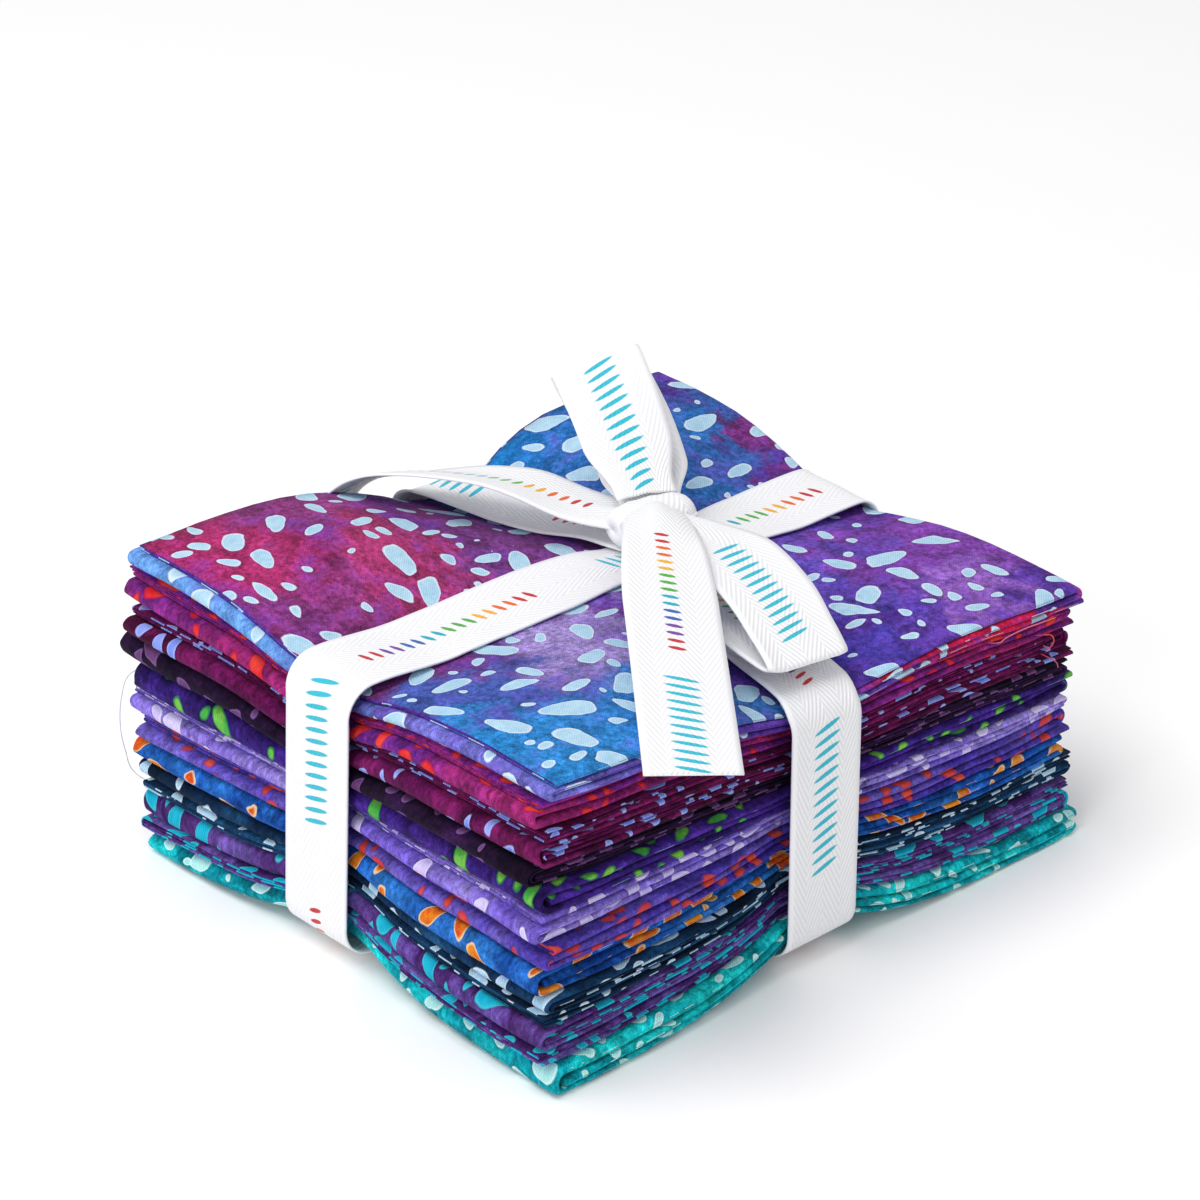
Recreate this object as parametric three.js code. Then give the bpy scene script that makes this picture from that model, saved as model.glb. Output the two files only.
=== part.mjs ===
// Fat quarter bundle: eleven folded fat quarters in a pile, tied crosswise with herringbone tape.
// Millimetres, +Z up. X runs along the front edge of the pile, Y from the front edge to the back.
// Each cloth is a 457 x 533 mm sheet: its long side is folded in four, then its short side in three.
// The section shows the three levels of the last fold as one back-and-forth band.

import * as THREE from "three";

const FOLDED = { x: 152, y: 133 };
const BAND = { depth: 7, sheet: 1.75 };
const TAPE = { width: 20, waist: 16, thick: 1 };
const GAP = 0.32;
const PINCH = 1.2;
const CORNER_RADIUS = 7;
const PUFF = { left: 3.2, front: 1.2, right: 1.2, back: 3.2 };
const FACETS = { smallTurn: 4, bigTurn: 6, corner: 4, knot: 14 };

// Plan lines where the folded cloths bend. The two middle lines of each row bound a strap's trough.
const STATIONS = {
  x: [-FOLDED.x / 2, -42, -12.5, 19, 44, FOLDED.x / 2],
  y: [-FOLDED.y / 2, -38, -10, 15, 40, FOLDED.y / 2],
};

// How far the straps draw the top of the pile down and its underside up.
const DRAWN = {
  top: { middle: 3, left: 6, right: 4.5, front: 6.5, back: 10.5 },
  under: { middle: 3, left: 6, right: 6.2, front: 7, back: 6 },
};

// One row for each cloth, from the top one down. left, front, right and back are its heights at the
// four corners of the pile. dx, dy and turn place it in plan. fold names the end seen at the left,
// and low, mid and high are how far its three levels stand in from the front edge.
const CLOTHS = [
  { colour: 0x6a4aa6, left: 6.5, front: 5.3, right: 4.9, back: 6.0, dx: -0.3, dy: 0.0, turn: 0.2, fold: "over", low: 0.9, mid: 1.6, high: 0.0 },
  { colour: 0xa82a60, left: 7.8, front: 6.6, right: 4.8, back: 6.2, dx: -1.5, dy: 1.5, turn: -0.4, fold: "over", low: 0.3, mid: 1.2, high: 0.6 },
  { colour: 0x5a2448, left: 7.9, front: 8.5, right: 7.7, back: 7.4, dx: -2.0, dy: 1.2, turn: 0.5, fold: "over", low: 0.0, mid: 0.9, high: 1.4 },
  { colour: 0x2a1a34, left: 6.8, front: 4.8, right: 4.4, back: 5.6, dx: -2.4, dy: 2.4, turn: -0.6, fold: "wrapped", low: 0.8, mid: 0.2, high: 0.5 },
  { colour: 0x3c5a7a, left: 7.4, front: 5.9, right: 4.8, back: 6.2, dx: -0.8, dy: 1.0, turn: 0.3, fold: "wrapped", low: 0.2, mid: 1.4, high: 0.7 },
  { colour: 0x8a70c8, left: 5.4, front: 7.5, right: 4.8, back: 5.4, dx: -1.5, dy: 1.8, turn: -0.3, fold: "wrapped", low: 1.1, mid: 0.4, high: 0.0 },
  { colour: 0x6a4a98, left: 5.6, front: 6.0, right: 6.3, back: 6.0, dx: -0.5, dy: 1.4, turn: 0.6, fold: "wrapped", low: 0.5, mid: 1.0, high: 0.9 },
  { colour: 0x3a62a0, left: 6.1, front: 6.2, right: 4.6, back: 5.6, dx: -1.4, dy: 1.8, turn: -0.5, fold: "wrapped", low: 0.0, mid: 0.7, high: 1.3 },
  { colour: 0x1c3a50, left: 6.8, front: 7.1, right: 6.0, back: 6.4, dx: -0.2, dy: 0.8, turn: 0.4, fold: "under", low: 1.2, mid: 0.5, high: 0.2 },
  { colour: 0x4a4a80, left: 10.6, front: 8.3, right: 7.6, back: 7.6, dx: -1.0, dy: 0.6, turn: -0.2, fold: "under", low: 0.4, mid: 1.3, high: 0.8 },
  { colour: 0x149ea6, left: 5.3, front: 7.5, right: 6.0, back: 5.8, dx: -0.2, dy: -1.2, turn: 0.2, fold: "wrapped", low: 0.6, mid: 0.0, high: 1.0 },
];

// Where the straps cross each edge of the pile, and where the knot sits on their crossing.
const CROSSING = { left: 2.5, right: 2, front: -1.0, back: 6.5 };
const KNOT = { x: 17, y: 4, half: 10, radius: 6, flat: 0.85, heading: -12 };

// How high the two straps lie over and under the cloths, at their crossing, in between and at the edges.
const RUN = { apart: 1, close: 0.35, clear: 2.2, foot: 0.5, footEdge: 3, crossOver: TAPE.thick + GAP };

// Loops and tails leave the knot at a heading in plan. Each row is a point of the section: how far
// out from the knot, and its height. tilt is the rise across the width. drape follows the pile's slope.
const FREE_BANDS = {
  loop_right: {
    heading: 253.5, width: { root: 13, end: 20.5 }, tilt: 0, skew: 0.24, drape: 1,
    rows: [
      { out: 6.4, height: 71.4, aside: 1 },
      { out: 26, height: 70.0, aside: 1 },
      { out: 48, height: 69.4, aside: 0.8 },
      { out: 66, height: 69.8, aside: 0 },
      { out: 69, height: 71.1, aside: 0 },
      { out: 66.5, height: 72.5, aside: 0 },
      { out: 50, height: 75.4, aside: -2.2 },
      { out: 28, height: 77.4, aside: -2.2 },
      { out: 13, height: 76.6, aside: 0 },
      { out: 6.8, height: 75.4, aside: 0 },
    ],
  },
  loop_back: {
    heading: 67, width: { root: 14, end: 20.5 }, tilt: 0.24, skew: 0, drape: 0,
    rows: [
      { out: 7.0, height: 75.2, aside: 1 },
      { out: 17, height: 77.0, aside: 4 },
      { out: 28, height: 82.0, aside: 4 },
      { out: 37.5, height: 91.6, aside: 0.6 },
      { out: 39, height: 94.0, aside: 0 },
      { out: 36.2, height: 93.8, aside: 0 },
      { out: 24, height: 88.4, aside: 0 },
      { out: 13, height: 82.0, aside: 0 },
      { out: 6.0, height: 78.0, aside: 0 },
    ],
  },
  tail_front: {
    heading: 230.9, width: { root: 16, end: 20 }, tilt: 0, skew: 0, drape: 0.3,
    rows: [
      { out: 2.5, height: 80.6, aside: 0 },
      { out: 8, height: 80.6, aside: 0 },
      { out: 16, height: 80.8, aside: 0 },
      { out: 34, height: 79.8, aside: 0 },
      { out: 60, height: 77.6, aside: 0 },
      { out: 88, height: 75.0, aside: 0 },
      { out: 110.6, height: 72.4, aside: 0 },
    ],
  },
  tail_left: {
    heading: 116.5, width: { root: 14, end: 20 }, tilt: 0, skew: 0, drape: 1,
    rows: [
      { out: 9.5, height: 71.6, aside: 0 },
      { out: 18, height: 73.0, aside: 0 },
      { out: 34, height: 75.0, aside: 0 },
      { out: 52, height: 73.2, aside: 0 },
      { out: 66, height: 70.0, aside: 0 },
      { out: 74, height: 65.0, aside: 0 },
      { out: 77.5, height: 57.0, aside: 0 },
      { out: 78.2, height: 46.0, aside: 0 },
    ],
  },
};

const radians = THREE.MathUtils.degToRad;
const lerp = THREE.MathUtils.lerp;
const ramp = (value, from, to) => THREE.MathUtils.clamp((value - from) / (to - from), 0, 1);
const CORNERS = ["left", "front", "right", "back"];

// Heights over the plan

function bilinear(corner, x, y) {
  const fx = x / FOLDED.x + 0.5;
  const fy = y / FOLDED.y + 0.5;
  return lerp(lerp(corner.front, corner.right, fx), lerp(corner.left, corner.back, fx), fy);
}

function stackedUpTo(row) {
  const below = CLOTHS.slice(row);
  return Object.fromEntries(CORNERS.map((corner) => [corner, below.reduce((sum, cloth) => sum + cloth[corner], 0)]));
}

function drawn(by, x, y) {
  const [, , x2, x3] = STATIONS.x;
  const [, , y2, y3] = STATIONS.y;
  const sideStrap = y >= y2 && y <= y3 ? lerp(by.middle, x < 0 ? by.left : by.right, (2 * Math.abs(x)) / FOLDED.x) : 0;
  const frontStrap = x >= x2 && x <= x3 ? lerp(by.middle, y < 0 ? by.front : by.back, (2 * Math.abs(y)) / FOLDED.y) : 0;
  return Math.max(sideStrap, frontStrap);
}

// Between the straps the cloth stands a little proud, most of all at the middle of each quarter.
function puffed(x, y) {
  const quarter = y > 0 ? (x < 0 ? "left" : "back") : (x < 0 ? "front" : "right");
  const beside = (stations, value) => (value === stations[1] || value === stations[4] ? 1 : 0);
  const outer = Math.abs(x) === FOLDED.x / 2 || Math.abs(y) === FOLDED.y / 2 ? 0.3 : 0;
  const across = beside(STATIONS.x, x);
  const along = beside(STATIONS.y, y);
  return PUFF[quarter] * (across * along + outer * (across + along));
}

function cellOf(stations, value) {
  let i = 0;
  while (i < stations.length - 2 && value > stations[i + 1]) i += 1;
  return { i, f: (value - stations[i]) / (stations[i + 1] - stations[i]) };
}

function gridSurface(nodeHeight) {
  const nodes = STATIONS.x.map((x) => STATIONS.y.map((y) => nodeHeight(x, y)));
  return (x, y) => {
    const a = cellOf(STATIONS.x, x);
    const b = cellOf(STATIONS.y, y);
    const near = lerp(nodes[a.i][b.i], nodes[a.i + 1][b.i], a.f);
    const far = lerp(nodes[a.i][b.i + 1], nodes[a.i + 1][b.i + 1], a.f);
    return lerp(near, far, b.f);
  };
}

const whole = stackedUpTo(0);

// The face between two cloths: row 0 is the top of the pile, and the last row its underside.
function faceAbove(row) {
  const stacked = stackedUpTo(row);
  return gridSurface((x, y) => {
    const top = bilinear(whole, x, y) + puffed(x, y) - drawn(DRAWN.top, x, y);
    const under = drawn(DRAWN.under, x, y);
    return lerp(under, top, bilinear(stacked, x, y) / bilinear(whole, x, y));
  });
}

const pileTop = faceAbove(0);

// Bands: a path in section, given thickness, and drawn out in steps across its width

function run(path, stations, height, heading) {
  stations.forEach((u) => path.push({ u, z: height(u), heading }));
}

function turn(path, centre, radius, heading, sweep, facets) {
  const side = Math.sign(sweep);
  for (let i = 0; i <= facets; i += 1) {
    const at = heading + (sweep * i) / facets;
    path.push({
      u: centre.u + Math.sin(at) * radius * side,
      z: centre.z - Math.cos(at) * radius * side,
      heading: at,
    });
  }
}

function mapPoints(position, map) {
  for (let i = 0; i < position.count; i += 1) {
    position.setXYZ(i, ...map(position.getX(i), position.getY(i), position.getZ(i)));
  }
}

// The two triangles of each quad meet along the diagonal that rises with both u and depth,
// so that cloths that face each other bend alike.
function alignDiagonals(position) {
  const read = (i) => new THREE.Vector3().fromBufferAttribute(position, i);
  for (let i = 0; i < position.count; i += 6) {
    const [a, b, d, c] = [i, i + 1, i + 2, i + 4].map(read);
    if ((b.x - d.x) * (b.z - d.z) < 0) {
      [a, b, c, a, c, d].forEach((corner, k) => position.setXYZ(i + k, corner.x, corner.y, corner.z));
    }
  }
}

function band(path, thick, steps, place) {
  const last = path.length - 1;
  const geometry = new THREE.BoxGeometry(1, 1, 1, last, 1, steps).toNonIndexed();
  const position = geometry.getAttribute("position");
  mapPoints(position, (x, y, z) => {
    const p = path[Math.round((x + 0.5) * last)];
    const depth = z + 0.5 + (p.aside ?? 0) / TAPE.width;
    return [p.u - Math.sin(p.heading) * y * thick, p.z + Math.cos(p.heading) * y * thick, depth];
  });
  alignDiagonals(position);
  mapPoints(position, place);
  geometry.computeVertexNormals();
  return geometry;
}

// Folded cloth

function foldPath(fold) {
  const pitch = (BAND.depth - BAND.sheet) / 2;
  const level = [0, 1, 2].map((k) => BAND.sheet / 2 + k * pitch);
  const edge = FOLDED.x / 2;
  const small = { radius: pitch / 2, u: edge - (pitch + BAND.sheet) / 2 };
  const big = { radius: pitch, u: edge - pitch - BAND.sheet / 2 };
  const inner = STATIONS.x.slice(1, -1);
  const back = [...inner].reverse();
  const path = [];
  const fold1 = (u, k, heading, sweep) => (
    turn(path, { u, z: (level[k] + level[k + 1]) / 2 }, small.radius, heading, sweep, FACETS.smallTurn));
  if (fold === "over") {
    run(path, [edge, ...back], () => level[0], Math.PI);
    fold1(-small.u, 0, Math.PI, -Math.PI);
    run(path, inner, () => level[1], 0);
    fold1(small.u, 1, 0, Math.PI);
    run(path, [...back, -edge], () => level[2], Math.PI);
  }
  if (fold === "under") {
    run(path, [-edge, ...inner], () => level[0], 0);
    fold1(small.u, 0, 0, Math.PI);
    run(path, back, () => level[1], Math.PI);
    fold1(-small.u, 1, Math.PI, -Math.PI);
    run(path, [...inner, edge], () => level[2], 0);
  }
  if (fold === "wrapped") {
    run(path, [-big.u, ...inner], () => level[1], 0);
    fold1(small.u, 0, 0, -Math.PI);
    run(path, back, () => level[0], -Math.PI);
    turn(path, { u: -big.u, z: level[1] }, big.radius, -Math.PI, -Math.PI, FACETS.bigTurn);
    run(path, [...inner, edge], () => level[2], 0);
  }
  return path;
}

// How much of a cloth's own shift a point takes: nothing under the straps, all of it at the edges.
const share = {
  x: (x) => ramp(Math.abs(x), STATIONS.x[4], FOLDED.x / 2 - 2),
  y: (y) => ramp(Math.abs(y), STATIONS.y[4], FOLDED.y / 2),
};
const strapped = {
  x: (x) => ramp(x, STATIONS.x[1], STATIONS.x[2]) * ramp(-x, -STATIONS.x[4], -STATIONS.x[3]),
  y: (y) => ramp(y, STATIONS.y[1], STATIONS.y[2]) * ramp(-y, -STATIONS.y[4], -STATIONS.y[3]),
};

function foldedCloth(cloth, row) {
  const above = faceAbove(row);
  const below = faceAbove(row + 1);
  const steps = STATIONS.y.length - 1;
  const setback = (part) => (part < 0.5 ? lerp(cloth.low, cloth.mid, part * 2) : lerp(cloth.mid, cloth.high, part * 2 - 1));
  return band(foldPath(cloth.fold), BAND.sheet, steps, (u, height, depth) => {
    const v = STATIONS.y[steps - Math.round(depth * steps)];
    const part = height / BAND.depth;
    const swing = radians(cloth.turn);
    const inX = share.x(u) * (cloth.dx - swing * v - Math.sign(u) * PINCH * strapped.y(v));
    const inY = share.y(v) * (cloth.dy + swing * u - Math.sign(v) * (PINCH * strapped.x(u) + setback(part)));
    const x = u + inX;
    const y = v + inY;
    return [x, y, lerp(below(x, y) + GAP / 2, above(x, y) - GAP / 2, part)];
  });
}

// Tape

function place(origin, headingDegrees, bend) {
  const along = { x: Math.cos(radians(headingDegrees)), y: Math.sin(radians(headingDegrees)) };
  return (u, z, depth) => {
    const { width, aside = 0, skew = 0, tilt = 0, drape } = bend(u, z);
    const across = (depth - 0.5) * width;
    const out = u + skew * across;
    const spot = (s) => [origin.x + along.x * out + along.y * s, origin.y + along.y * out - along.x * s];
    const [x, y] = spot(aside + across);
    const slope = drape * (pileTop(x, y) - pileTop(...spot(aside)));
    return [x, y, z + slope + tilt * across];
  };
}

// A strap starts below the knot, goes over the top, down one side, under the pile and back up to the knot.
function strapPath(ends, stations, over, under, knotAt) {
  const path = [];
  const right = ends.right - CORNER_RADIUS;
  const left = ends.left + CORNER_RADIUS;
  const quarter = Math.PI / 2;
  const corner = (u, z, heading) => turn(path, { u, z }, CORNER_RADIUS, heading, quarter, FACETS.corner);
  const down = [...stations].reverse();
  run(path, [knotAt - RUN.apart, ...down.filter((u) => u < knotAt - RUN.apart)], over, -Math.PI);
  corner(left, over(left) - CORNER_RADIUS, -2 * quarter);
  corner(left, under(left) + CORNER_RADIUS, -quarter);
  run(path, stations, under, 0);
  corner(right, under(right) + CORNER_RADIUS, 0);
  corner(right, over(right) - CORNER_RADIUS, quarter);
  run(path, [...down.filter((u) => u > knotAt + RUN.apart), knotAt + RUN.apart], over, 2 * quarter);
  return path;
}

const onTop = (z) => ramp(z, 15, 45);
function strap(axis) {
  const side = axis === "x";
  const half = FOLDED[axis] / 2;
  const knotAt = KNOT[axis];
  const shift = side ? "dx" : "dy";
  const ends = {
    left: -half + Math.min(...CLOTHS.map((cloth) => cloth[shift])) + PINCH - TAPE.thick - GAP,
    right: half + Math.max(...CLOTHS.map((cloth) => cloth[shift])) - PINCH + TAPE.thick + GAP,
  };
  const from = side ? CROSSING.left : CROSSING.front;
  const to = side ? CROSSING.right : CROSSING.back;
  const atKnot = side ? KNOT.y - 1.5 : KNOT.x;
  const straight = (u) => lerp(from, to, ramp(u, -half, half));
  const bowed = (u) => (u < knotAt ? lerp(from, atKnot, ramp(u, -half, knotAt)) : lerp(atKnot, to, ramp(u, knotAt, half)));
  const line = (u, z) => lerp(straight(u), bowed(u), onTop(z));
  const topAt = (u) => (side ? pileTop(u, bowed(u)) : pileTop(bowed(u), u));
  const hop = (u) => (side ? 0 : RUN.crossOver * (1 - ramp(Math.abs(u - CROSSING.left), 12, 24)));
  const over = (u) => topAt(u) + Math.max(RUN.close + hop(u), lerp(RUN.close, RUN.clear, ramp(Math.abs(u), half - 28, half - 6))) + TAPE.thick / 2;
  const under = (u) => lerp(RUN.foot + hop(u), RUN.footEdge, ramp(Math.abs(u), half * 0.35, half - 6));
  const inner = STATIONS[axis].slice(1, -1);
  const between = side ? [-30, 2.5, 35] : [-26, -6, 10, 29];
  const stations = [...inner, ...between].sort((a, b) => a - b);
  return band(strapPath(ends, stations, over, under, knotAt), TAPE.thick, 2, place({ x: 0, y: 0 }, side ? 0 : 90, (u, z) => ({
    width: lerp(TAPE.width, lerp(TAPE.waist, TAPE.width, ramp(Math.abs(u - knotAt), 8, 36)), onTop(z)),
    aside: (side ? -1 : 1) * line(u, z),
    drape: onTop(z),
  })));
}

function freeBand({ heading, width, tilt, skew, drape, rows }) {
  const curve = new THREE.SplineCurve(rows.map((row) => new THREE.Vector2(row.out, row.height)));
  const pieces = (rows.length - 1) * 2;
  const path = [];
  for (let i = 0; i <= pieces; i += 1) {
    const point = curve.getPoint(i / pieces);
    const [before, after] = [Math.floor(i / 2), Math.ceil(i / 2)].map((k) => rows[k].aside);
    path.push({ u: point.x, z: point.y, heading: curve.getTangent(i / pieces).angle(), aside: (before + after) / 2 });
  }
  const reach = Math.max(...rows.map((row) => row.out));
  return band(path, TAPE.thick, 2, place(KNOT, heading, (u) => ({
    width: lerp(width.root, width.end, ramp(u, 6, reach * 0.45)),
    skew: skew * ramp(u, 10, reach),
    tilt: tilt * ramp(u, 6, reach),
    drape: drape * ramp(u, 10, reach * 0.5),
  })));
}

function knot(seat) {
  const { half, radius } = KNOT;
  const profile = [
    [0, -half],
    [0.62 * radius, -0.94 * half],
    [0.93 * radius, -0.62 * half],
    [0.96 * radius, 0],
    [radius, 0.45 * half],
    [0.7 * radius, 0.9 * half],
    [0, half],
  ].map(([r, along]) => new THREE.Vector2(r, along));
  return new THREE.LatheGeometry(profile, FACETS.knot)
    .rotateZ(-Math.PI / 2)
    .scale(1, 1, KNOT.flat)
    .rotateZ(radians(KNOT.heading))
    .translate(KNOT.x, KNOT.y, seat + radius * KNOT.flat);
}

// The bundle

const geometries = {};
CLOTHS.forEach((cloth, row) => {
  geometries[`fat_quarter_${String(row + 1).padStart(2, "0")}`] = foldedCloth(cloth, row);
});
geometries.strap_side = strap("x");
geometries.strap_front = strap("y");
geometries.knot = knot(pileTop(KNOT.x, KNOT.y) + RUN.close + RUN.crossOver + TAPE.thick + GAP);
Object.entries(FREE_BANDS).forEach(([name, band]) => {
  geometries[name] = freeBand(band);
});

const box = new THREE.Box3();
Object.values(geometries).forEach((geometry) => {
  geometry.computeBoundingBox();
  box.union(geometry.boundingBox);
});
const centre = box.getCenter(new THREE.Vector3());

const bundle = new THREE.Group();
bundle.name = "fat_quarter_bundle";
Object.entries(geometries).forEach(([name, geometry]) => {
  const cloth = CLOTHS[Number(name.match(/^fat_quarter_(\d+)$/)?.[1]) - 1];
  const material = new THREE.MeshStandardMaterial({
    color: cloth ? cloth.colour : 0xf2f2f0,
    roughness: 0.9,
    metalness: 0,
  });
  const mesh = new THREE.Mesh(geometry.translate(-centre.x, -centre.y, -box.min.z), material);
  mesh.name = name;
  bundle.add(mesh);
});

export default bundle;
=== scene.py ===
"""A bundle of eleven folded fat quarters, tied crosswise with herringbone tape.

Lengths in the tables are millimetres in the pile's own plan: X runs along the front edge, Y from the
front edge to the back, and Z up. Meshes are in metres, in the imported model's frame.
"""

import math
from collections import namedtuple

import bmesh
import bpy
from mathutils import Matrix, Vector, noise


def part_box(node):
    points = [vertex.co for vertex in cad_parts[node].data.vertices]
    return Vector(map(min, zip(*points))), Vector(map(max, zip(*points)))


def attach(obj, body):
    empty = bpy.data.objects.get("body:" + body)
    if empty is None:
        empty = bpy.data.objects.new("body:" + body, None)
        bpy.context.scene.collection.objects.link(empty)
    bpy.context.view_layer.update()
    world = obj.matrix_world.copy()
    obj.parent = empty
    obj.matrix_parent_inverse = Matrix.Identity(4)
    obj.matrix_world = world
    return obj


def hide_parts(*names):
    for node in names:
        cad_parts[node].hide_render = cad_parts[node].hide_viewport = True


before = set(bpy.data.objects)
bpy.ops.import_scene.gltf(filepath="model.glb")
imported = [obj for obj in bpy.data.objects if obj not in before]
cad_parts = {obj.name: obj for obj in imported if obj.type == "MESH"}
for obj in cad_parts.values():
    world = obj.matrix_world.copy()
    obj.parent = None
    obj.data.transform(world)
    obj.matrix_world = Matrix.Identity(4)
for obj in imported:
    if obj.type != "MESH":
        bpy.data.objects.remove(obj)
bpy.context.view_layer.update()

bl_info = {
    "name": "Fat quarter bundle",
    "version": (1, 0, 0),
    "blender": (4, 5, 0),
    "location": "3D View > Sidebar > Bundle",
    "description": "Folded batik fat quarters tied with herringbone tape",
    "category": "Add Mesh",
}

MM = 0.001

# The pile

PILE_MIDDLE = (1.2546, 4.6212)  # where the middle of the plan lies in the model's frame
FOLDED = (152.0, 133.0)  # the same, folded in three and in four
HALF_X, HALF_Y = FOLDED[0] / 2, FOLDED[1] / 2
DEPTH = 7.0  # height of a folded cloth before it is pressed to its own height
LAYERS = 4  # layers across the strip that is then folded in three
LAYER_PITCH = 0.5  # from one layer to the next
HALF_WALL = 0.14  # half a layer's own thickness
LEVEL_PITCH = DEPTH / 3
FREE_EDGE = 2.4  # how far the free end of the top level stops short of the roll under it
STRIP_HALF = LAYER_PITCH * (LAYERS - 1) / 2
GAP = 0.12  # least gap between two cloths
OPENING = 0.6  # how far neighbouring cloths part at their edges, at most
REACH = {"left": 2.4, "right": 3.4, "front": 1.9, "back": 1.9}  # bulge past the folded size
STRAY_FROM = 40  # how far out from the middle the folds start to stray
WAVE = 0.7  # how far the boundary between two cloths rises and falls near the edges
PINCH = 1.2  # how far the straps draw the sides in
PUFF = {"left": 3.2, "front": 1.2, "right": 1.2, "back": 3.2}  # swelling of the top's four quarters
PUFF_BLEND_X, PUFF_BLEND_Y = (-14, 20), (-12, 16)  # where one quarter's swelling passes to the next
# How far the straps draw in the top and the underside at the pile's middle and at its four sides.
DRAWN_TOP = {"middle": 3.0, "left": 9.0, "right": 4.5, "front": 6.5, "back": 11.0}
DRAWN_UNDER = {"middle": 3.0, "left": 6.0, "right": 6.2, "front": 7.0, "back": 6.0}
TROUGH_FLAT, TROUGH_REACH = 8.0, 17.0  # of the dip under a strap, out from the strap's middle
# Stations of the swelling, from one edge to the other: the edge, where it is greatest, the two sides of
# the strap, where it is greatest again, and the other edge.
STATIONS_X = (-HALF_X, -42.0, -12.5, 19.0, 44.0, HALF_X)
STATIONS_Y = (-HALF_Y, -38.0, -10.0, 15.0, 40.0, HALF_Y)

Cloth = namedtuple("Cloth", "heights shift turn fold setbacks closed sharing")

# One row for each cloth, from the top one down: its heights at the left, front, right and back
# corners, its shift and turn in plan, its last fold, how far its levels stand in from the front, the
# side where its long folds are closed, and how its height is shared (above 1, most at the top).
CLOTHS = (
    Cloth((6.5, 5.3, 4.9, 6.0), (-0.3, 0.0), 0.2, "over", (0.2, 0.0, 1.3), "front", 0.84),
    Cloth((7.8, 6.6, 4.8, 6.2), (-1.5, 1.5), -0.4, "over", (0.3, 1.2, 0.6), "front", 0.95),
    Cloth((7.9, 8.5, 7.7, 7.4), (-2.0, 1.2), 0.5, "over", (0.0, 0.9, 1.4), "back", 1.0),
    Cloth((6.8, 4.8, 4.4, 5.6), (-2.4, 2.4), -0.6, "wrapped", (0.8, 0.2, 0.5), "back", 1.0),
    Cloth((7.4, 5.9, 4.8, 6.2), (-0.8, 1.0), 0.3, "wrapped", (0.2, 1.4, 0.7), "front", 1.2),
    Cloth((5.4, 7.5, 4.8, 5.4), (-1.5, 1.8), -0.3, "over", (1.1, 0.4, 0.0), "front", 0.9),
    Cloth((5.6, 6.0, 6.3, 6.0), (-0.5, 1.4), 0.6, "over", (0.5, 1.0, 0.9), "front", 1.35),
    Cloth((6.1, 6.2, 4.6, 5.6), (-1.4, 1.8), -0.5, "wrapped", (0.0, 0.7, 1.3), "front", 1.4),
    Cloth((6.8, 7.1, 6.0, 6.4), (-0.2, 0.8), 0.4, "under", (1.2, 0.5, 0.2), "back", 0.9),
    Cloth((10.6, 8.3, 7.6, 7.6), (-1.0, 0.6), -0.2, "under", (0.4, 1.3, 0.8), "back", 1.0),
    Cloth((5.3, 7.5, 6.0, 5.8), (-0.2, -1.2), 0.2, "wrapped", (0.6, 0.0, 1.0), "front", 1.3),
)

Dye = namedtuple("Dye", "ground fills rim spacing small reach")

# Dyes of each cloth, from the top one down: three ground colours, two fills of the wax pebbles, their
# rim, the spacing of the large and of the small ones in millimetres, and their reach as a share of it.
DYES = (
    Dye(("#523490", "#603ea4", "#4c2c84"), ("#b2d4e8", "#a4cae2"), "#d0deee", 12.0, 6.6, (0.15, 0.35)),
    Dye(("#782476", "#662480", "#8c2464"), ("#d2212b", "#df453a"), "#a81c48", 8.0, 5.0, (0.16, 0.36)),
    Dye(("#58104a", "#440a32", "#6a1850"), ("#778ee5", "#8a9deb"), "#9dacef", 8.0, 5.6, (0.14, 0.32)),
    Dye(("#22102e", "#341646", "#13081c"), ("#5c3566", "#70467a"), "#75548d", 9.0, 6.0, (0.14, 0.34)),
    Dye(("#38207a", "#281656", "#46288a"), ("#46a84a", "#86c850"), "#2c8444", 10.0, 6.4, (0.14, 0.34)),
    Dye(("#8471c6", "#9686d2", "#6652b2"), ("#c2b4ec", "#d4caf4"), "#d9d2f6", 9.0, 5.4, (0.14, 0.32)),
    Dye(("#5545a4", "#6c5cb6", "#413094"), ("#ca3f38", "#d95446"), "#b33b5a", 9.0, 5.6, (0.16, 0.36)),
    Dye(("#1850a4", "#103e8a", "#2a6cb8"), ("#e19023", "#ce471b"), "#e1c69c", 9.5, 6.2, (0.16, 0.36)),
    Dye(("#0f2c4c", "#1a4870", "#081a2e"), ("#9dc6df", "#b7d7ed"), "#cee1f1", 9.0, 6.2, (0.14, 0.34)),
    Dye(("#523076", "#3e2062", "#62509a"), ("#16a4c5", "#22b4d0"), "#38b8cc", 8.5, 5.6, (0.16, 0.38)),
    Dye(("#0c9fac", "#088998", "#18babb"), ("#9cdcde", "#b3e8e6"), "#cef2f0", 8.5, 5.6, (0.14, 0.34)),
)

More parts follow.
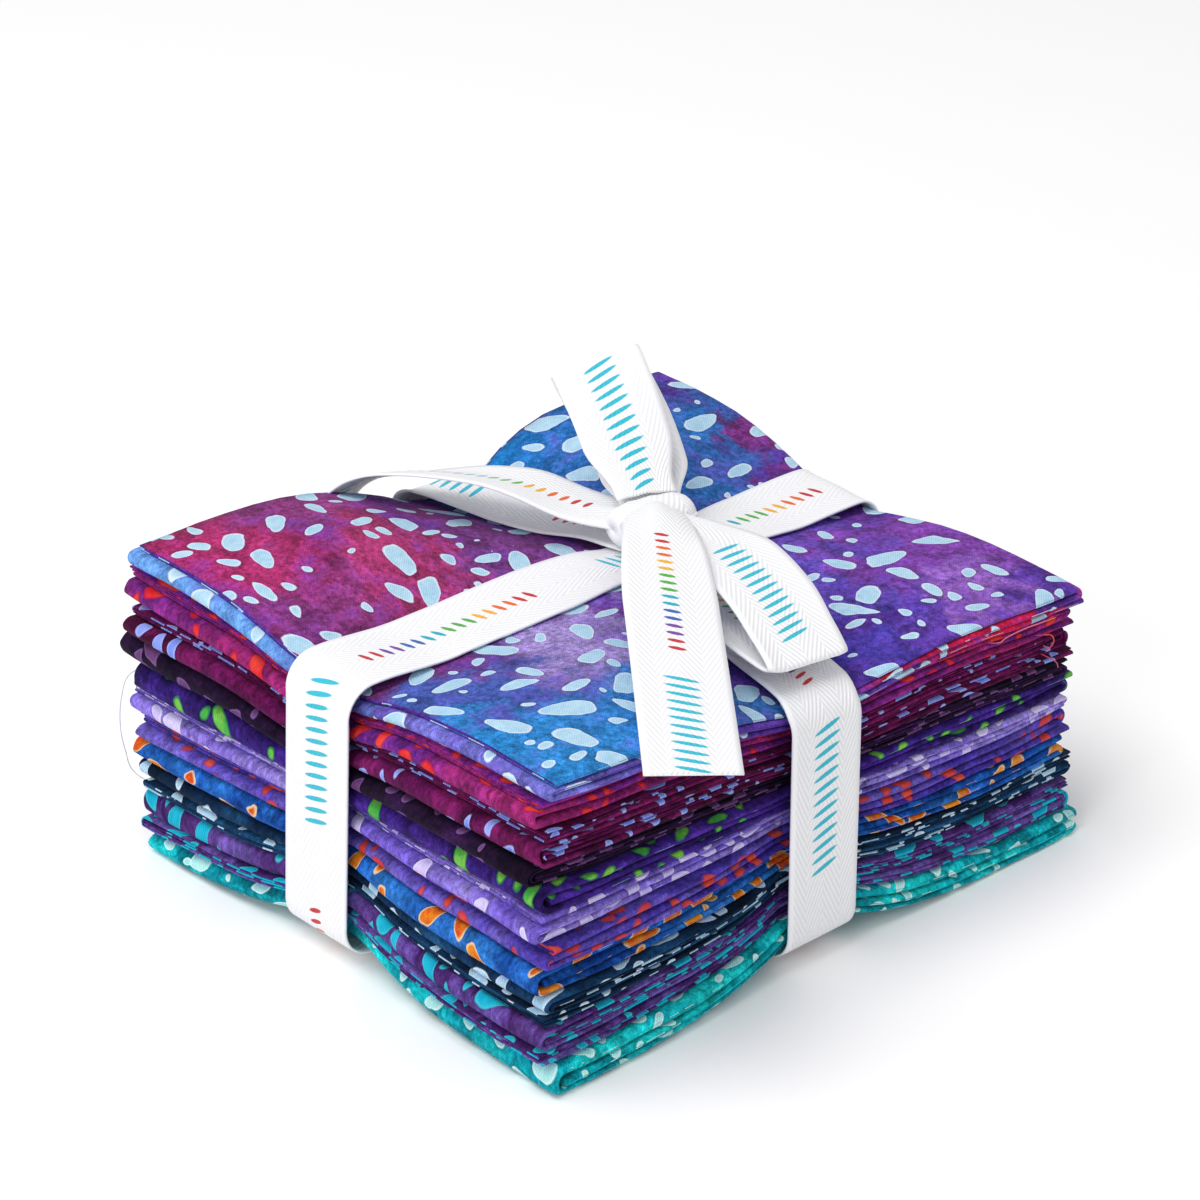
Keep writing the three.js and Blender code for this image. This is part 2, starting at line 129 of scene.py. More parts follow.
# Pools of dye on the top cloth, as (length, width, radius, colour) in millimetres on the flat cloth.
TOP_POOLS = (
    (425, 30, 62, "#863876"),
    (392, 44, 30, "#733a7c"),
    (446, 12, 28, "#a22e66"),
    (414, 36, 17, "#a0366a"),
    (448, 66, 24, "#78367c"),
    (420, 80, 22, "#5c3c88"),
    (444, 122, 40, "#2c80c4"),
    (412, 128, 30, "#3078be"),
    (440, 92, 18, "#4258a8"),
    (402, 88, 24, "#9a86c4"),
    (348, 2, 34, "#1474b8"),
    (334, 20, 34, "#2468ae"),
    (340, 40, 27, "#306cb4"),
    (305, 34, 12, "#743078"),
    (346, 94, 26, "#5c49ac"),
    (330, 70, 20, "#6447a8"),
    (314, 98, 24, "#78409e"),
    (322, 122, 14, "#8a5cb2"),
    (360, 120, 18, "#463a9e"),
    (284, 138, 13, "#c81e48"),
    (270, 137, 16, "#c81e48"),
    (250, 137, 15, "#b41c46"),
    (18, 135, 14, "#c81e48"),
    (38, 135, 16, "#c81e48"),
    (152, 240, 56, "#6496da"),
    (156, 150, 40, "#6e6cc2"),
)

# The tie

# Where the straps cross the pile's edges: Y at the left and right, X at the front and back.
CROSSING = {"left": 4.0, "right": 2.0, "front": -1.0, "back": 6.5}
KNOT = (17.0, 4.0)
KNOT_HEADING = -12.0
STRAPS_MEET = KNOT[1] - 1.5  # Y where the side strap passes the knot
STRAP_ENDS = {"side": (-78.52, 75.92), "front": (-67.82, 69.02)}
CORNER_RADIUS = 7.0
LEAN = 2.8  # how far the side strap leans back on its way down the left face
ACROSS_TAPE = 12  # faces across the tape's width
TAPE_WAIST = 16.0  # width of a strap where the knot gathers it
WAIST_REACH = (8, 36)  # how far from the knot the strap starts to widen, and is at its full width
CLOSE, CLEAR = 0.45, 2.2  # height of a strap over the top, and over its edges
RISE_FROM, RISE_TO = 28, 6  # how far in from an edge it starts to rise to that, and has risen
TOP_STEP, UNDER_STEP = 1.2, 1.6  # between points of a strap on the top and the sides, and below
FOOT, FOOT_EDGE = 0.5, 3.0  # height of a strap under the middle of the pile, and at its edges
CROSS_OVER = 1.32  # how far the front strap rises where it crosses the side strap
CROSS_REACH = (10, 26)  # how far from the side strap's middle that rise starts to end, and ends
TAPE_FROM = {"side": 77.8, "front": 95.8, "knot": 93.0}  # the tape's own length at the start of each

# The turn of tape round the knot: half the knot's length, its radius, how flat it is pressed, how far
# it is off the knot's middle, the angle where the turn starts and how far it sweeps, the depth of its
# creases and how much wider the tape is there, from side to side of the knot.
WRAP_HALF, WRAP_RADIUS, WRAP_FLATNESS, WRAP_ASIDE = 9.6, 6.0, 0.78, -0.6
WRAP_START, WRAP_SWEEP = math.radians(200), math.radians(400)
WRAP_CREASE, WRAP_SPREAD = 0.14, 1.05
WRAP_LENGTH = 38.0
WRAP_COLUMNS, WRAP_ROWS = 45, 17

# The loops and tails: heading from the knot in degrees, width at the knot and beyond, how they tilt
# across, skew their ends and drape on the pile, and the tape's own length where they start. Rows give how
# far out from the knot, how high and how far aside the band runs.
FREE_BANDS = {
    "loop_right": {
        "heading": 253.5,
        "width": (13.0, 21.4),
        "skew": 0.24,
        "drape": 1.0,
        "start": 96.8,
        "rows": (
            (4.0, 71.8, 1.0), (12, 70.9, 1.0), (26, 70.0, 1.0), (48, 69.4, 0.8),
            (62, 69.3, -0.4), (67.6, 69.9, -0.9), (68.9, 70.9, -1.0), (67.2, 71.9, -1.2),
            (60, 73.3, -2.2), (46, 75.6, -3.8), (28, 77.4, -3.4), (14, 77.2, -0.6),
            (5.0, 75.4, 0),
        ),
    },
    "loop_back": {
        "heading": 67.0,
        "width": (14.0, 20.5),
        "tilt": 0.24,
        "drape": 0.0,
        "pleat": 0.12,
        "start": 14.0,
        "rows": (
            (4.5, 74.6, 1.0), (10, 75.4, 2.4), (18, 77.2, 4.0), (28, 82.0, 4.0),
            (35.6, 89.2, 1.6), (38.4, 92.9, 0.2), (38.7, 94.1, 0), (37.4, 94.2, 0),
            (33.6, 92.8, 0), (24, 88.4, 0), (13, 82.0, 0), (4.0, 77.4, 0),
        ),
    },
    "tail_front": {
        "heading": 230.9,
        "width": (15.5, 20.0),
        "cup": 5.2,
        "drape": 0.3,
        "start": 90.0,
        "rows": (
            (1.2, 74.2, 0), (1.6, 76.6, 0), (4.0, 78.9, 0), (9, 80.2, 0), (16, 80.5, 0),
            (34, 79.5, 0), (60, 77.6, 0), (88, 75.0, 0), (110.6, 72.4, 0),
        ),
    },
    "tail_left": {
        "heading": 116.5,
        "width": (14.0, 20.0),
        "drape": 1.0,
        "start": 104.8,
        "rows": (
            (6.0, 73.2, 0), (18, 73.6, 0), (34, 76.0, 0), (52, 75.2, 0), (66, 72.2, 0),
            (74.5, 66.5, 0), (77.8, 58.0, 0), (78.4, 47.0, 0),
        ),
    },
}
# What a loop or tail is like unless its entry says otherwise: no tilt or skew, and near the knot a little
# cupped across and pleated.
ORDINARY_BAND = {"tilt": 0.0, "skew": 0.0, "cup": 0.9, "pleat": 0.35}
BAND_STEPS = 10  # points along a loop or tail from one row to the next

# Loose threads: the number of the cloth each has come from, its colour, and the points it runs through.
LOOSE_THREADS = {
    "thread_left": (
        5,
        "#c9ccd6",
        (
            (-73.0, 62.0, 48.0), (-78.6, 68.6, 44.0), (-80.4, 70.2, 38.0), (-80.9, 70.6, 31.0),
            (-80.2, 70.2, 24.5), (-78.6, 69.0, 18.5), (-73.0, 62.0, 13.5),
        ),
    ),
    "thread_right": (
        2,
        "#dc7484",
        (
            (50.1, -63.0, 56.9), (51.0, -68.0, 58.4), (52.7, -68.4, 59.1),
            (58.6, -68.2, 59.1), (63.5, -68.4, 58.8), (70.6, -67.0, 57.2),
        ),
    ),
    "thread_curl": (
        3,
        "#dc5050",
        (
            (65.7, -63.0, 52.8), (65.3, -68.2, 55.2), (66.9, -68.8, 54.8),
            (67.7, -69.0, 53.1), (66.7, -68.6, 51.6), (66.0, -67.4, 52.1),
        ),
    ),
    "thread_snip": (
        3,
        "#cc5c78",
        ((68.6, -63.0, 47.9), (69.1, -68.4, 47.4), (70.0, -68.6, 45.4)),
    ),
}
THREAD_RADIUS = 0.13
THREAD_STEPS, THREAD_SIDES = 8, 6  # points along a thread from one to the next, and round it

# Settings


class ClothSettings(bpy.types.PropertyGroup):
    thickness: bpy.props.FloatProperty(
        name="Thickness",
        description="Thickness of one layer of quilting cotton",
        default=0.00028,
        min=0.0001,
        max=0.001,
        unit="LENGTH",
    )
    edge_wander: bpy.props.FloatProperty(
        name="Edge wander",
        description="How far a folded edge strays in from the front and back of the pile",
        default=0.0015,
        min=0.0,
        max=0.004,
        unit="LENGTH",
    )
    roll_wander: bpy.props.FloatProperty(
        name="Roll wander",
        description="How far a rolled end strays in and out along its length",
        default=0.0007,
        min=0.0,
        max=0.003,
        unit="LENGTH",
    )
    rumple: bpy.props.FloatProperty(
        name="Rumple",
        description="Height of the soft unevenness of the top",
        default=0.0004,
        min=0.0,
        max=0.002,
        unit="LENGTH",
    )
    thread_spacing: bpy.props.FloatProperty(
        name="Thread spacing",
        description="Distance between the threads as drawn, twice the real one so that they show",
        default=0.00066,
        min=0.0002,
        max=0.002,
        unit="LENGTH",
    )


class TapeSettings(bpy.types.PropertyGroup):
    width: bpy.props.FloatProperty(
        name="Width",
        description="Width of the herringbone tape",
        default=0.02,
        min=0.01,
        max=0.03,
        unit="LENGTH",
    )
    thickness: bpy.props.FloatProperty(
        name="Thickness",
        description="Thickness of the herringbone tape",
        default=0.0005,
        min=0.0002,
        max=0.001,
        unit="LENGTH",
    )
    rib_spacing: bpy.props.FloatProperty(
        name="Rib spacing",
        description="Distance between the slanting ribs of the herringbone",
        default=0.001,
        min=0.0004,
        max=0.003,
        unit="LENGTH",
    )
    colour: bpy.props.StringProperty(
        name="Colour",
        description="Hex colour of the bleached tape",
        default="#f1f1f5",
    )


class StageSettings(bpy.types.PropertyGroup):
    floor_colour: bpy.props.StringProperty(
        name="Floor colour",
        description="Hex colour of the plain floor",
        default="#ffffff",
    )
    key_power: bpy.props.FloatProperty(
        name="Key power",
        description="Power of the large overhead softbox",
        default=10.8,
        min=0.0,
        subtype="POWER",
    )
    side_power: bpy.props.FloatProperty(
        name="Side power",
        description="Power of the softbox at the left",
        default=5.3,
        min=0.0,
        subtype="POWER",
    )
    sky: bpy.props.FloatProperty(
        name="Surround",
        description="Brightness of the white surround",
        default=0.62,
        min=0.0,
    )


# Small sums


def lerp(a, b, t):
    return a + (b - a) * t


def ramp(value, low, high):
    return min(1.0, max(0.0, (value - low) / (high - low)))


def ease(t):
    return t * t * (3 - 2 * t)


def wander(*place):
    """Smooth noise from -1 to 1."""
    return noise.noise(Vector(place))


def in_frame(x, y, z):
    """A point of the pile's plan, in metres in the model's frame."""
    return Vector(((x + PILE_MIDDLE[0]) * MM, (y + PILE_MIDDLE[1]) * MM, z * MM))


# Heights over the plan


def over_corners(corners, x, y):
    """Heights at the left, front, right and back corners, blended over the plan."""
    left, front, right, back = corners
    across = x / FOLDED[0] + 0.5
    along = y / FOLDED[1] + 0.5
    return lerp(lerp(front, right, across), lerp(left, back, across), along)


def stacked_under(row):
    """Heights at the four corners of all the cloths from a row down."""
    below = [cloth.heights for cloth in CLOTHS[row:]]
    return tuple(sum(heights[i] for heights in below) for i in range(4))


STACKED = [stacked_under(row) for row in range(len(CLOTHS) + 1)]


def side_line(u):
    """Where the side strap runs: its Y at a given X on the top."""
    if u < KNOT[0]:
        return lerp(CROSSING["left"], STRAPS_MEET, ramp(u, -HALF_X, KNOT[0]))
    return lerp(STRAPS_MEET, CROSSING["right"], ramp(u, KNOT[0], HALF_X))


def front_line(u):
    """Where the front strap runs: its X at a given Y on the top."""
    if u < KNOT[1]:
        return lerp(CROSSING["front"], KNOT[0], ramp(u, -HALF_Y, KNOT[1]))
    return lerp(KNOT[0], CROSSING["back"], ramp(u, KNOT[1], HALF_Y))


def trough(distance):
    """How deep the dip under a strap is at a distance from its middle, from 1 to 0."""
    return math.exp(-((max(abs(distance) - TROUGH_FLAT, 0.0) / TROUGH_REACH) ** 1.2))


def drawn(by, x, y):
    """How far the two straps draw the pile in at a point."""
    side = lerp(by["middle"], by["left" if x < 0 else "right"], min(1.0, abs(x) / HALF_X))
    front = lerp(by["middle"], by["front" if y < 0 else "back"], min(1.0, abs(y) / HALF_Y))
    side *= trough(y - side_line(x))
    front *= trough(x - front_line(y))
    return (side**3 + front**3) ** (1 / 3)


def swell(stations, value):
    """1 in the middle of each half, 0 under the strap, and 0.3 at the pile's edge."""
    low, a, b, c, d, high = stations
    if value < a:
        return lerp(0.3, 1.0, ease(ramp(value, low, a)))
    if value < b:
        return 1.0 - ease(ramp(value, a, b))
    if value < c:
        return 0.0
    if value < d:
        return ease(ramp(value, c, d))
    return lerp(1.0, 0.3, ease(ramp(value, d, high)))


def faces_of_pile(x, y):
    """Heights of the underside and the top of the pile at a point."""
    under = drawn(DRAWN_UNDER, x, y)
    puffs = lerp(
        lerp(PUFF["front"], PUFF["right"], ramp(x, *PUFF_BLEND_X)),
        lerp(PUFF["left"], PUFF["back"], ramp(x, *PUFF_BLEND_X)),
        ramp(y, *PUFF_BLEND_Y),
    )
    swollen = puffs * swell(STATIONS_X, x) * swell(STATIONS_Y, y)
    rumple = bpy.context.scene.bundle_cloth.rumple / MM
    soft = rumple * (wander(x / 24, y / 24, 3.1) + 0.5 * wander(x / 11, y / 11, 8.4))
    top = over_corners(STACKED[0], x, y) + swollen - drawn(DRAWN_TOP, x, y) + soft
    return under, top


def pile_top(x, y):
    return faces_of_pile(x, y)[1]


# Meshes


def new_piece(name, mesh_data, material, thickness):
    mesh = bpy.data.meshes.new(name)
    mesh_data.to_mesh(mesh)
    mesh_data.free()
    for polygon in mesh.polygons:
        polygon.use_smooth = True
    piece = bpy.data.objects.new(name, mesh)
    bpy.context.collection.objects.link(piece)
    mesh.materials.append(material)
    if thickness:
        wall = piece.modifiers.new("Cloth thickness", "SOLIDIFY")
        wall.thickness = thickness
        wall.offset = 0.0
    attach(piece, "root")
    return piece


def flat_grid(columns, rows, place, flat):
    """A grid with one vertex at each column and row. place gives its point and flat its place on the
    flat cloth, both from the numbers of the column and the row."""
    grid = bmesh.new()
    layer = grid.loops.layers.uv.new("Cloth")
    bmesh.ops.create_grid(grid, x_segments=columns - 1, y_segments=rows - 1, size=0.5)
    spread = {}
    for vertex in grid.verts:
        i = round((vertex.co.x + 0.5) * (columns - 1))
        j = round((vertex.co.y + 0.5) * (rows - 1))
        spread[vertex] = flat(i, j)
        vertex.co = place(i, j)
    for face in grid.faces:
        for loop in face.loops:
            loop[layer].uv = spread[loop.vert]
    return grid


def turned(centre_u, centre_h, radius, heading, sweep, facets):
    """Points of a turn in section, as (u, height, heading)."""
    side = 1 if sweep > 0 else -1
    for i in range(facets + 1):
        at = heading + sweep * i / facets
        yield (centre_u + math.sin(at) * radius * side, centre_h - math.cos(at) * radius * side, at)


def with_lengths(path):
    """Points of a section, each with the length along the section so far added to it."""
    measured, length = [], 0.0
    for i, point in enumerate(path):
        if i:
            length += math.dist(point[:2], path[i - 1][:2])
        measured.append((*point, length))
    return measured


# Folded cloths

# Stations along and across a level between its bends, closer together by the edges and the straps.
INNER_X = (-70, -65, -59, -52, -45, -37.5, -30, -23, -16.5, -10, -4)
INNER_X += (2, 8, 14, 20, 26.5, 33.5, 41, 49, 56.5, 63, 68.5)
INNER_Y = (-63, -59, -53.5, -47, -40, -33, -26, -19.5, -13.5, -8, -2.5)
INNER_Y += (3, 8.5, 14, 20, 26.5, 33.5, 41, 48.5, 55, 60, 63)


def fold_in_three(fold):
    """The section of a folded strip, as (u, height, heading, length along the cloth)."""
    level = [LEVEL_PITCH * (k + 0.5) for k in range(3)]
    small, big = LEVEL_PITCH / 2, LEVEL_PITCH
    rim = HALF_X - STRIP_HALF - HALF_WALL
    ahead, back = list(INNER_X), list(reversed(INNER_X))
    path = []

    def run(stations, height, heading):
        path.extend((u, height, heading) for u in stations)

    def turn(u, height, radius, heading, sweep, facets):
        path.extend(turned(u, height, radius, heading, sweep, facets))

    if fold == "over":
        run([HALF_X, *back], level[0], math.pi)
        turn(small - rim, (level[0] + level[1]) / 2, small, math.pi, -math.pi, 8)
        run(ahead, level[1], 0.0)
        turn(rim - small, (level[1] + level[2]) / 2, small, 0.0, math.pi, 8)
        run([*back[:-1], FREE_EDGE - HALF_X], level[2], math.pi)
    elif fold == "under":
        run([-HALF_X, *ahead], level[0], 0.0)
        turn(rim - small, (level[0] + level[1]) / 2, small, 0.0, math.pi, 8)
        run(back, level[1], math.pi)
        turn(small - rim, (level[1] + level[2]) / 2, small, math.pi, -math.pi, 8)
        run([*ahead, HALF_X], level[2], 0.0)
    else:
        run([big - rim, *ahead[1:]], level[1], 0.0)
        turn(rim - small, (level[0] + level[1]) / 2, small, 0.0, -math.pi, 8)
        run(back[:-1], level[0], -math.pi)
        turn(big - rim, level[1], big, -math.pi, -math.pi, 12)
        run([*ahead[1:], HALF_X], level[2], 0.0)
    return with_lengths(path)


def fold_in_four(closed):
    """Layers across a strip folded in half twice, as (y, offset from the strip's middle, front fold,
    back fold, width along the cloth). closed is the side where both halves bend together."""
    side = -1 if closed == "front" else 1
    path = []

    def folds(loose):
        return (0, loose) if closed == "front" else (loose, 0)

    def layer(k, way):
        offset = (k - (LAYERS - 1) / 2) * LAYER_PITCH
        loose = (1, 2, 3, 3)[k]
        stations = list(INNER_Y) if way > 0 else list(reversed(INNER_Y))
        path.extend((y, offset, *folds(loose)) for y in stations)

    def bend(y_side, centre, radius, rise, loose, facets):
        for i in range(1, facets):
            at = math.pi * i / facets
            y = y_side * (HALF_Y - radius + math.sin(at) * radius)
            path.append((y, centre - rise * math.cos(at) * radius, *folds(loose)))

    half = LAYER_PITCH / 2
    path.append((-side * HALF_Y, -3 * half, *folds(1)))
    layer(0, side)
    bend(side, 0.0, 3 * half, 1, 0, 9)
    layer(3, -side)
    bend(-side, 2 * half, half, -1, 3, 6)
    layer(2, side)
    bend(side, 0.0, half, -1, 0, 6)
    layer(1, -side)
    path.append((-side * HALF_Y, -half, *folds(2)))
    return with_lengths(path)


def boundary(row, x, y, near):
    """Height of the top of a cloth, or of the underside of the pile after the last row."""
    under, top = faces_of_pile(x, y)
    share = over_corners(STACKED[row], x, y) / over_corners(STACKED[0], x, y)
    wave = WAVE * near * wander(x / 25, y / 25, row * 4.7) if 0 < row < len(CLOTHS) else 0.0
    return lerp(under, top, share) + wave


def cloth_point(row, along, across):
    """Where a point of a folded cloth lies, from its place in the two folds."""
    cloth = CLOTHS[row]
    settings = bpy.context.scene.bundle_cloth
    u, height, heading, length = along
    v, offset, front_fold, back_fold, _ = across
    u -= math.sin(heading) * offset
    height += math.cos(heading) * offset

    near_x = ease(ramp(abs(u), STRAY_FROM, HALF_X))
    near_y = ease(ramp(abs(v), STRAY_FROM, HALF_Y))
    near = max(near_x, near_y)
    part = min(1.0, max(0.0, height / DEPTH))
    low, middle, high = cloth.setbacks
    setback = lerp(low, middle, part * 2) if part < 0.5 else lerp(middle, high, part * 2 - 1)
    fold = front_fold if v < 0 else back_fold + 5
    stray = 0.35 + 0.5 * wander(length / 47, fold * 3.7, row * 5.3)
    stray += 0.3 * wander(length / 15, fold * 2.9, row * 3.1)
    corner = (0.6 + 1.2 * wander(row * 2.3, fold * 1.9, length / 60)) * (near_x * near_y) ** 3
    inset = setback + corner + settings.edge_wander / MM * max(0.0, stray)
    roll = settings.roll_wander / MM * wander(v / 34, row * 2.7, math.copysign(4.0, u))

    swing = math.radians(cloth.turn)
    by_side_strap = trough(v - side_line(u))
    by_front_strap = trough(u - front_line(v))
    bulge_x = lerp(REACH["left" if u < 0 else "right"], -PINCH, by_side_strap)
    bulge_y = lerp(REACH["front" if v < 0 else "back"], -PINCH, by_front_strap) - inset
    x = u + near_x * (cloth.shift[0] - swing * v + roll + bulge_x * math.copysign(1, u))
    y = v + near_y * (cloth.shift[1] + swing * u + bulge_y * math.copysign(1, v))

    free = math.sin(math.pi * part)
    looseness = 0.12 + 0.5 * near
    height += looseness * free * wander(x / 19, y / 19, height * 0.4 + row * 9.1)

    parting = (GAP + OPENING * near * (0.5 + 0.5 * wander(x / 23, y / 23, row * 3.3))) / 2
    lower = boundary(row + 1, x, y, near) + parting
    upper = boundary(row, x, y, near) - parting
    return in_frame(x, y, lerp(lower, upper, max(0.0, height / DEPTH) ** cloth.sharing))


def thread(name, points, colour):
    """A thread of spun cotton through points, tapered shut at both ends."""
    count = (len(points) - 1) * THREAD_STEPS
    line = [Vector(catmull_rom(points, i / THREAD_STEPS)) for i in range(count + 1)]

    def place(i, j):
        ahead = (line[min(i + 1, count)] - line[max(i - 1, 0)]).normalized()
        side = ahead.cross(Vector((0.3, 0.2, 1))).normalized()
        up = side.cross(ahead)
        angle = j / THREAD_SIDES * math.tau
        thick = THREAD_RADIUS * min(1.0, i / 2, (count - i) / 2)
        point = line[i] + (side * math.cos(angle) + up * math.sin(angle)) * thick
        return in_frame(*point)

    grid = flat_grid(count + 1, THREAD_SIDES + 1, place, lambda i, j: (i * 0.0004, j * 0.0001))
    bmesh.ops.remove_doubles(grid, verts=grid.verts, dist=1e-6)
    bmesh.ops.recalc_face_normals(grid, faces=grid.faces)
    return new_piece(name, grid, spun_cotton(f"{name}_cotton", colour), 0)


class BUNDLE_OT_fat_quarters(bpy.types.Operator):
    """Make the eleven folded fat quarters of batik cotton"""

    bl_idname = "bundle.fat_quarters"
    bl_label = "Fat quarters"

    def execute(self, context):
        settings = context.scene.bundle_cloth
        for row, cloth in enumerate(CLOTHS):
            number = f"{row + 1:02d}"
            levels = fold_in_three(cloth.fold)
            layers = fold_in_four(cloth.closed)
            grid = flat_grid(
                len(levels),
                len(layers),
                lambda i, j: cloth_point(row, levels[i], layers[j]),
                lambda i, j: (levels[i][3] * MM, layers[j][4] * MM),
            )
            piece = new_piece(
                f"cotton_{number}",
                grid,
                batik(f"batik_cotton_{number}", DYES[row], row + 1.0, () if row else TOP_POOLS),
                settings.thickness,
            )
            frays = [
                thread(name, points, colour)
                for name, (cloth_number, colour, points) in LOOSE_THREADS.items()
                if cloth_number == row + 1
            ]
            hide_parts(f"fat_quarter_{number}")
        return {"FINISHED"}


# Tape


def catmull_rom(rows, at):
    """A smooth curve through rows of numbers, at a place counted in rows."""
    last = len(rows) - 1
    i = min(int(at), last - 1)
    t = at - i
    p0, p1, p2, p3 = (rows[min(max(k, 0), last)] for k in (i - 1, i, i + 1, i + 2))
    return tuple(
        0.5
        * (2 * b + (c - a) * t + (2 * a - 5 * b + 4 * c - d) * t * t + (3 * b - a - 3 * c + d) * t**3)
        for a, b, c, d in zip(p0, p1, p2, p3)
    )


def tape_piece(name, path, bend, origin, heading, start, node):
    """A length of tape along path, rows of (out, height). bend gives its width, aside, skew, tilt,
    drape, cup and pleat at each row."""
    settings = bpy.context.scene.bundle_tape
    way = Vector((math.cos(math.radians(heading)), math.sin(math.radians(heading))))
    lengths = [point[-1] for point in with_lengths(path)]
    bends = [bend(i) for i in range(len(path))]

    def place(i, j):
        u, height = path[i][:2]
        b = bends[i]
        share = j / ACROSS_TAPE - 0.5
        across = share * b["width"]
        out = u + b.get("skew", 0.0) * across
        aside = b.get("aside", 0.0)

        def spot(s):
            return (origin[0] + way.x * out + way.y * s, origin[1] + way.y * out - way.x * s)

        x, y = spot(aside + across)
        drape = b.get("drape", 0.0)
        slope = drape * (pile_top(x, y) - pile_top(*spot(aside))) if drape else 0.0
        lift = b.get("tilt", 0.0) * across - b.get("cup", 0.0) * (2 * share) ** 2
        lift += b.get("pleat", 0.0) * math.cos(share * 5 * math.pi)
        return in_frame(x, y, height + slope + lift)

    grid = flat_grid(
        len(path),
        ACROSS_TAPE + 1,
        place,
        lambda i, j: ((start + lengths[i]) * MM, (j / ACROSS_TAPE - 0.5) * settings.width),
    )
    piece = new_piece(name, grid, tape_material(), settings.thickness)
    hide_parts(node)


def spaced(low, high, step):
    """Places from low to high, about a step apart."""
    count = max(1, round(abs(high - low) / step))
    return [lerp(low, high, i / count) for i in range(count + 1)]


def strap(name):
    """One strap, from the knot over the top, down, under the pile and back up to the knot."""
    side = name == "side"
    axis = 0 if side else 1
    half = (HALF_X, HALF_Y)[axis]
    knot_at = KNOT[axis]
    low, high = STRAP_ENDS[name]
    begin, end = (
        (CROSSING["left"] + LEAN, CROSSING["right"])
        if side
        else (CROSSING["front"], CROSSING["back"])
    )
    bowed = side_line if side else front_line

    def line(u, z):
        return lerp(lerp(begin, end, ramp(u, -half, half)), bowed(u), ramp(z, 10, 60))

    def top_at(u):
        return pile_top(u, bowed(u)) if side else pile_top(bowed(u), u)

    def hop(u):
        apart = abs(u - CROSSING["left"])
        return 0.0 if side else CROSS_OVER * (1 - ease(ramp(apart, *CROSS_REACH)))

    def over(u):
        rise = lerp(CLOSE, CLEAR, ease(ramp(abs(u), half - RISE_FROM, half - RISE_TO)))
        return top_at(u) + max(CLOSE + hop(u), rise) + 0.5

    def under(u):
        return lerp(FOOT + hop(u), FOOT_EDGE, ease(ramp(abs(u), half * 0.35, half - RISE_TO)))

    radius = CORNER_RADIUS
    left, right = low + radius, high - radius
    quarter = math.pi / 2
    path = [(u, over(u)) for u in spaced(knot_at - 1, left, TOP_STEP)]
    corners = (
        (left, over(left) - radius, -2 * quarter),
        (left, under(left) + radius, -quarter),
        (right, under(right) + radius, 0.0),
        (right, over(right) - radius, quarter),
    )

    def corner(k):
        u, z, heading = corners[k]
        points = [point[:2] for point in turned(u, z, radius, heading, quarter, 10)]
        path.extend(points if math.dist(points[0], path[-1]) > 0.05 else points[1:])

    def down_or_up(k):
        u, z = path[-1]
        target = corners[k][1]
        path.extend((u, height) for height in spaced(z, target, TOP_STEP)[1:-1])

    corner(0)
    down_or_up(1)
    corner(1)
    path.extend((u, under(u)) for u in spaced(left, right, UNDER_STEP)[1:-1])
    corner(2)
    down_or_up(3)
    corner(3)
    path.extend((u, over(u)) for u in spaced(right, knot_at + 1, TOP_STEP)[1:])

    full = bpy.context.scene.bundle_tape.width / MM

    def bend(i):
        u, z = path[i]
        on_top = ramp(z, 15, 45)
        waist = lerp(TAPE_WAIST, full, ease(ramp(abs(u - knot_at), *WAIST_REACH)))
        return {
            "width": lerp(full, waist, on_top),
            "aside": (-1 if side else 1) * line(u, z),
            "drape": on_top,
            "cup": 0.15 * on_top,
        }

    heading = 0 if side else 90
    tape_piece(f"tape_round_{name}", path, bend, (0, 0), heading, TAPE_FROM[name], f"strap_{name}")


class BUNDLE_OT_straps(bpy.types.Operator):
    """Make the two straps of tape that go round the pile"""

    bl_idname = "bundle.straps"
    bl_label = "Straps"

    def execute(self, context):
        for name in STRAP_ENDS:
            strap(name)
        return {"FINISHED"}


def free_band(name):
    """A loop or a tail, from the knot along a smooth curve through its rows."""
    band = {**ORDINARY_BAND, **FREE_BANDS[name]}
    rows = band["rows"]
    count = (len(rows) - 1) * BAND_STEPS
    samples = [catmull_rom(rows, i / BAND_STEPS) for i in range(count + 1)]
    reach = max(row[0] for row in rows)
    root, end = band["width"]

    def bend(i):
        u = samples[i][0]
        return {
            "width": lerp(root, end, ease(ramp(u, 6, reach * 0.45))),
            "aside": samples[i][2],
            "skew": band["skew"] * ease(ramp(u, 10, reach)),
            "tilt": band["tilt"] * ease(ramp(u, 6, reach)),
            "drape": band["drape"] * ease(ramp(u, 10, reach * 0.5)),
            "pleat": band["pleat"] * (1 - ease(ramp(u, 4, 22))),
            "cup": band["cup"] * (1 - ease(ramp(u, 2, 30))),
        }

    tape_piece(f"tape_{name}", samples, bend, KNOT, band["heading"], band["start"], name)


class BUNDLE_OT_loops_and_tails(bpy.types.Operator):
    """Make the two loops and the two free ends of the bow"""

    bl_idname = "bundle.loops_and_tails"
    bl_label = "Loops and tails"

    def execute(self, context):
        for name in FREE_BANDS:
            free_band(name)
        return {"FINISHED"}


